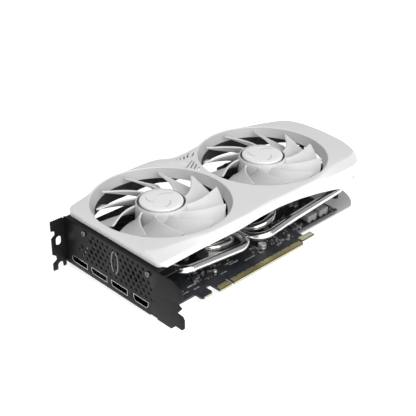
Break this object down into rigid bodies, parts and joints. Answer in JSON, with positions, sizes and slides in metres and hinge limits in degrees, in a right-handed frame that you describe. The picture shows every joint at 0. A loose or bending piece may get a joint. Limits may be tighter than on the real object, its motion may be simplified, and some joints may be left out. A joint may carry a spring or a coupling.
{
  "type": "graphics card",
  "caption": "Two-slot graphics card: slot bracket with four monitor sockets, circuit board with edge contacts, finned cooler with heat pipes, and two spinning fans in a white shroud.",
  "frame": {"origin": "middle of the whole card seen from above, level with its lowest point, the ear of the bracket tab", "axes": "+X from the slot bracket to the far end, +Y from the edge contacts to the top edge, +Z from the backplate to the fans"},
  "size_m": [0.2362, 0.1326, 0.046],
  "materials": {
    "white_shell": "satin moulded white plastic",
    "white_blade": "satin moulded white plastic, fine texture",
    "white_cap": "smooth white plastic",
    "dark_plastic": "black moulded plastic",
    "dark_steel": "satin black paint on pressed steel",
    "screw_steel": "dark plated steel",
    "board": "black solder mask on glass laminate, gold contacts",
    "socket_shell": "plated pressed steel",
    "nickel": "bright nickel plating on copper",
    "fin_metal": "mill-finish sheet",
    "plate_grey": "light grey satin paint",
    "chip_black": "moulded black package",
    "die_mirror": "polished silicon",
    "pad_grey": "soft grey pad",
    "choke_grey": "pressed iron powder",
    "copper": "copper and bronze"
  },
  "bodies": {
    "card": {"backplate": "plate_grey", "backplate_screw_1": "screw_steel", "backplate_screw_2": "screw_steel", "backplate_screw_3": "screw_steel", "backplate_screw_4": "screw_steel", "bracket_screw_1": "screw_steel", "bracket_screw_2": "screw_steel", "capacitor_1": "fin_metal", "capacitor_2": "fin_metal", "capacitor_3": "fin_metal", "capacitor_4": "fin_metal", "choke_1": "choke_grey", "choke_2": "choke_grey", "choke_3": "choke_grey", "choke_4": "choke_grey", "circuit_board": "board", "cold_plate": "nickel", "cooler_stay": "dark_steel", "displayport_1": "socket_shell", "displayport_2": "socket_shell", "displayport_3": "socket_shell", "end_post": "dark_plastic", "fan_arms_left": "dark_plastic", "fan_arms_right": "dark_plastic", "fan_bearing_left": "copper", "fan_bearing_right": "copper", "fan_header": "white_cap", "fan_stator_left": "copper", "fan_stator_right": "copper", "fin_stack_left": "fin_metal", "fin_stack_right": "fin_metal", "gpu_die": "die_mirror", "gpu_package": "chip_black", "hdmi_port": "socket_shell", "heat_pipe_left_inner": "nickel", "heat_pipe_left_outer": "nickel", "heat_pipe_right_inner": "nickel", "heat_pipe_right_outer": "nickel", "memory_chip_1": "chip_black", "memory_chip_2": "chip_black", "memory_chip_3": "chip_black", "memory_chip_4": "chip_black", "power_socket": "dark_plastic", "shroud": "white_shell", "slot_bracket": "dark_steel", "spring_screw_1": "screw_steel", "spring_screw_2": "screw_steel", "spring_screw_3": "screw_steel", "spring_screw_4": "screw_steel", "thermal_pad_left": "pad_grey", "thermal_pad_right": "pad_grey"},
    "fan_left": {"fan_rotor_left": "white_blade", "hub_cap_left": "white_cap", "magnet_ring_left": "chip_black", "fan_shaft_left": "screw_steel"},
    "fan_right": {"fan_rotor_right": "white_blade", "hub_cap_right": "white_cap", "magnet_ring_right": "chip_black", "fan_shaft_right": "screw_steel"}
  },
  "joints": [
    {"name": "fan_left_spin", "type": "hinge", "parent": "card", "child": "fan_left", "pos_m": [-0.05119, 0.0155, 0.0371], "axis": [0, 0, 1], "continuous": true},
    {"name": "fan_right_spin", "type": "hinge", "parent": "card", "child": "fan_right", "pos_m": [0.05092, 0.0155, 0.0371], "axis": [0, 0, 1], "continuous": true}
  ]
}
